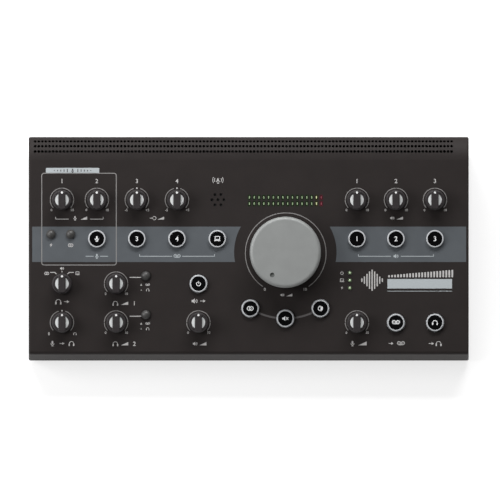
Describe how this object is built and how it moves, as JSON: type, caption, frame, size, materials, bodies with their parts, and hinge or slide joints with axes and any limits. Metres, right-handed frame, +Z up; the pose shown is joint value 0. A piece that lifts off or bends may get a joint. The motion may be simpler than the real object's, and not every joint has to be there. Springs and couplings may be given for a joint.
{
  "type": "studio monitor controller",
  "caption": "Wedge-shaped desktop controller in a folded steel case, with a large volume knob, small knobs, lit keys, a level meter, a perforated hump at the back and rear audio sockets.",
  "frame": {"origin": "middle of the footprint, in the plane of the feet", "axes": "+X to the user's right, +Y to the rear panel, +Z up"},
  "size_m": [0.352, 0.173, 0.0768],
  "materials": {
    "case_paint": "satin",
    "knob_plastic": "satin",
    "volume_finish": "satin",
    "key_plastic": "satin",
    "button_rubber": "satin",
    "light_pipe": "gloss",
    "black_plastic": "matte",
    "gloss_black": "gloss",
    "part_body": "matte",
    "circuit_board": "satin",
    "ribbon": "matte",
    "rubber": "matte",
    "bright_steel": "polished",
    "dark_steel": "satin"
  },
  "bodies": {
    "case": {"top_cover": "case_paint", "base_plate": "case_paint", "rear_panel": "case_paint", "rubber_feet": "rubber", "case_screws": "dark_steel", "press_nuts": "bright_steel", "control_board": "circuit_board", "knob_pots": "part_body", "cue_selector": "part_body", "volume_pot": "bright_steel", "key_switches": "part_body", "button_switches": "part_body", "meter_lights": "light_pipe", "meter_housing": "black_plastic", "status_lights": "light_pipe", "talkback_mic": "rubber", "board_studs": "bright_steel", "board_screws": "bright_steel", "rear_board": "circuit_board", "line_jacks": "black_plastic", "jack_nuts": "bright_steel", "combo_jacks": "black_plastic", "usb_port": "bright_steel", "dc_inlet": "black_plastic", "power_switch_body": "black_plastic", "ribbon_cable": "ribbon", "board_parts": "part_body"},
    "gain_knob_1": {"gain_knob_1": "knob_plastic"},
    "gain_knob_2": {"gain_knob_2": "knob_plastic"},
    "trim_knob_34": {"trim_knob_34": "knob_plastic"},
    "trim_knob_56": {"trim_knob_56": "knob_plastic"},
    "trim_knob_a": {"trim_knob_a": "knob_plastic"},
    "trim_knob_b": {"trim_knob_b": "knob_plastic"},
    "trim_knob_c": {"trim_knob_c": "knob_plastic"},
    "cue_source_knob": {"cue_source_knob": "knob_plastic"},
    "phones_knob_1": {"phones_knob_1": "knob_plastic"},
    "direct_monitor_knob": {"direct_monitor_knob": "knob_plastic"},
    "phones_knob_2": {"phones_knob_2": "knob_plastic"},
    "studio_level_knob": {"studio_level_knob": "knob_plastic"},
    "talkback_level_knob": {"talkback_level_knob": "knob_plastic"},
    "volume_knob": {"volume_knob": "volume_finish", "volume_shaft": "bright_steel"},
    "source_key_12": {"source_key_12": "key_plastic"},
    "source_key_34": {"source_key_34": "key_plastic"},
    "source_key_56": {"source_key_56": "key_plastic"},
    "source_key_computer": {"source_key_computer": "key_plastic"},
    "monitor_key_a": {"monitor_key_a": "key_plastic"},
    "monitor_key_b": {"monitor_key_b": "key_plastic"},
    "monitor_key_c": {"monitor_key_c": "key_plastic"},
    "studio_on_key": {"studio_on_key": "key_plastic"},
    "mono_key": {"mono_key": "key_plastic"},
    "mute_key": {"mute_key": "key_plastic"},
    "dim_key": {"dim_key": "key_plastic"},
    "talk_to_tape_key": {"talk_to_tape_key": "key_plastic"},
    "talk_to_cue_key": {"talk_to_cue_key": "key_plastic"},
    "phantom_button": {"phantom_button": "button_rubber"},
    "mono_input_button": {"mono_input_button": "button_rubber"},
    "phones_source_button_1": {"phones_source_button_1": "button_rubber"},
    "phones_source_button_2": {"phones_source_button_2": "button_rubber"},
    "power_rocker": {"power_rocker": "gloss_black"}
  },
  "joints": [
    {"name": "gain_knob_1_turn", "type": "hinge", "parent": "case", "child": "gain_knob_1", "pos_m": [-0.1494, 0.03504, 0.05595], "axis": [0, 0.1736, -0.9848], "range_deg": [-135, 135]},
    {"name": "gain_knob_2_turn", "type": "hinge", "parent": "case", "child": "gain_knob_2", "pos_m": [-0.1215, 0.03504, 0.05595], "axis": [0, 0.1736, -0.9848], "range_deg": [-135, 135]},
    {"name": "trim_knob_34_turn", "type": "hinge", "parent": "case", "child": "trim_knob_34", "pos_m": [-0.0895, 0.03504, 0.05595], "axis": [0, 0.1736, -0.9848], "range_deg": [-135, 135]},
    {"name": "trim_knob_56_turn", "type": "hinge", "parent": "case", "child": "trim_knob_56", "pos_m": [-0.0574, 0.03504, 0.05595], "axis": [0, 0.1736, -0.9848], "range_deg": [-135, 135]},
    {"name": "trim_knob_a_turn", "type": "hinge", "parent": "case", "child": "trim_knob_a", "pos_m": [0.0866, 0.03504, 0.05595], "axis": [0, 0.1736, -0.9848], "range_deg": [-135, 135]},
    {"name": "trim_knob_b_turn", "type": "hinge", "parent": "case", "child": "trim_knob_b", "pos_m": [0.1178, 0.03504, 0.05595], "axis": [0, 0.1736, -0.9848], "range_deg": [-135, 135]},
    {"name": "trim_knob_c_turn", "type": "hinge", "parent": "case", "child": "trim_knob_c", "pos_m": [0.149, 0.03504, 0.05595], "axis": [0, 0.1736, -0.9848], "range_deg": [-135, 135]},
    {"name": "cue_source_knob_turn", "type": "hinge", "parent": "case", "child": "cue_source_knob", "pos_m": [-0.1494, -0.03094, 0.04431], "axis": [0, 0.1736, -0.9848], "range_deg": [-30, 30]},
    {"name": "phones_knob_1_turn", "type": "hinge", "parent": "case", "child": "phones_knob_1", "pos_m": [-0.1061, -0.03094, 0.04431], "axis": [0, 0.1736, -0.9848], "range_deg": [-135, 135]},
    {"name": "direct_monitor_knob_turn", "type": "hinge", "parent": "case", "child": "direct_monitor_knob", "pos_m": [-0.1494, -0.06157, 0.03891], "axis": [0, 0.1736, -0.9848], "range_deg": [-135, 135]},
    {"name": "phones_knob_2_turn", "type": "hinge", "parent": "case", "child": "phones_knob_2", "pos_m": [-0.1061, -0.06157, 0.03891], "axis": [0, 0.1736, -0.9848], "range_deg": [-135, 135]},
    {"name": "studio_level_knob_turn", "type": "hinge", "parent": "case", "child": "studio_level_knob", "pos_m": [-0.0402, -0.06157, 0.03891], "axis": [0, 0.1736, -0.9848], "range_deg": [-135, 135]},
    {"name": "talkback_level_knob_turn", "type": "hinge", "parent": "case", "child": "talkback_level_knob", "pos_m": [0.0866, -0.06157, 0.03891], "axis": [0, 0.1736, -0.9848], "range_deg": [-135, 135]},
    {"name": "volume_knob_turn", "type": "hinge", "parent": "case", "child": "volume_knob", "pos_m": [0.0293, -0.00622, 0.04867], "axis": [0, 0.1736, -0.9848], "range_deg": [0, 300]},
    {"name": "power_rocker_tilt", "type": "hinge", "parent": "case", "child": "power_rocker", "pos_m": [0.12, 0.0812, 0.028], "axis": [1, 0, 0], "range_deg": [0, 15]},
    {"name": "source_key_12_press", "type": "slide", "parent": "case", "child": "source_key_12", "axis": [0, 0.1736, -0.9848], "range_m": [0, 0.0016], "stiffness_N_per_m": 600, "springref_m": -0.0005},
    {"name": "source_key_34_press", "type": "slide", "parent": "case", "child": "source_key_34", "axis": [0, 0.1736, -0.9848], "range_m": [0, 0.0016], "stiffness_N_per_m": 600, "springref_m": -0.0005},
    {"name": "source_key_56_press", "type": "slide", "parent": "case", "child": "source_key_56", "axis": [0, 0.1736, -0.9848], "range_m": [0, 0.0016], "stiffness_N_per_m": 600, "springref_m": -0.0005},
    {"name": "source_key_computer_press", "type": "slide", "parent": "case", "child": "source_key_computer", "axis": [0, 0.1736, -0.9848], "range_m": [0, 0.0016], "stiffness_N_per_m": 600, "springref_m": -0.0005},
    {"name": "monitor_key_a_press", "type": "slide", "parent": "case", "child": "monitor_key_a", "axis": [0, 0.1736, -0.9848], "range_m": [0, 0.0016], "stiffness_N_per_m": 600, "springref_m": -0.0005},
    {"name": "monitor_key_b_press", "type": "slide", "parent": "case", "child": "monitor_key_b", "axis": [0, 0.1736, -0.9848], "range_m": [0, 0.0016], "stiffness_N_per_m": 600, "springref_m": -0.0005},
    {"name": "monitor_key_c_press", "type": "slide", "parent": "case", "child": "monitor_key_c", "axis": [0, 0.1736, -0.9848], "range_m": [0, 0.0016], "stiffness_N_per_m": 600, "springref_m": -0.0005},
    {"name": "studio_on_key_press", "type": "slide", "parent": "case", "child": "studio_on_key", "axis": [0, 0.1736, -0.9848], "range_m": [0, 0.0016], "stiffness_N_per_m": 600, "springref_m": -0.0005},
    {"name": "mono_key_press", "type": "slide", "parent": "case", "child": "mono_key", "axis": [0, 0.1736, -0.9848], "range_m": [0, 0.0016], "stiffness_N_per_m": 600, "springref_m": -0.0005},
    {"name": "mute_key_press", "type": "slide", "parent": "case", "child": "mute_key", "axis": [0, 0.1736, -0.9848], "range_m": [0, 0.0016], "stiffness_N_per_m": 600, "springref_m": -0.0005},
    {"name": "dim_key_press", "type": "slide", "parent": "case", "child": "dim_key", "axis": [0, 0.1736, -0.9848], "range_m": [0, 0.0016], "stiffness_N_per_m": 600, "springref_m": -0.0005},
    {"name": "talk_to_tape_key_press", "type": "slide", "parent": "case", "child": "talk_to_tape_key", "axis": [0, 0.1736, -0.9848], "range_m": [0, 0.0016], "stiffness_N_per_m": 600, "springref_m": -0.0005},
    {"name": "talk_to_cue_key_press", "type": "slide", "parent": "case", "child": "talk_to_cue_key", "axis": [0, 0.1736, -0.9848], "range_m": [0, 0.0016], "stiffness_N_per_m": 600, "springref_m": -0.0005},
    {"name": "phantom_button_press", "type": "slide", "parent": "case", "child": "phantom_button", "axis": [0, 0.1736, -0.9848], "range_m": [0, 0.002], "stiffness_N_per_m": 500, "springref_m": -0.0005},
    {"name": "mono_input_button_press", "type": "slide", "parent": "case", "child": "mono_input_button", "axis": [0, 0.1736, -0.9848], "range_m": [0, 0.002], "stiffness_N_per_m": 500, "springref_m": -0.0005},
    {"name": "phones_source_button_1_press", "type": "slide", "parent": "case", "child": "phones_source_button_1", "axis": [0, 0.1736, -0.9848], "range_m": [0, 0.002], "stiffness_N_per_m": 500, "springref_m": -0.0005},
    {"name": "phones_source_button_2_press", "type": "slide", "parent": "case", "child": "phones_source_button_2", "axis": [0, 0.1736, -0.9848], "range_m": [0, 0.002], "stiffness_N_per_m": 500, "springref_m": -0.0005}
  ]
}
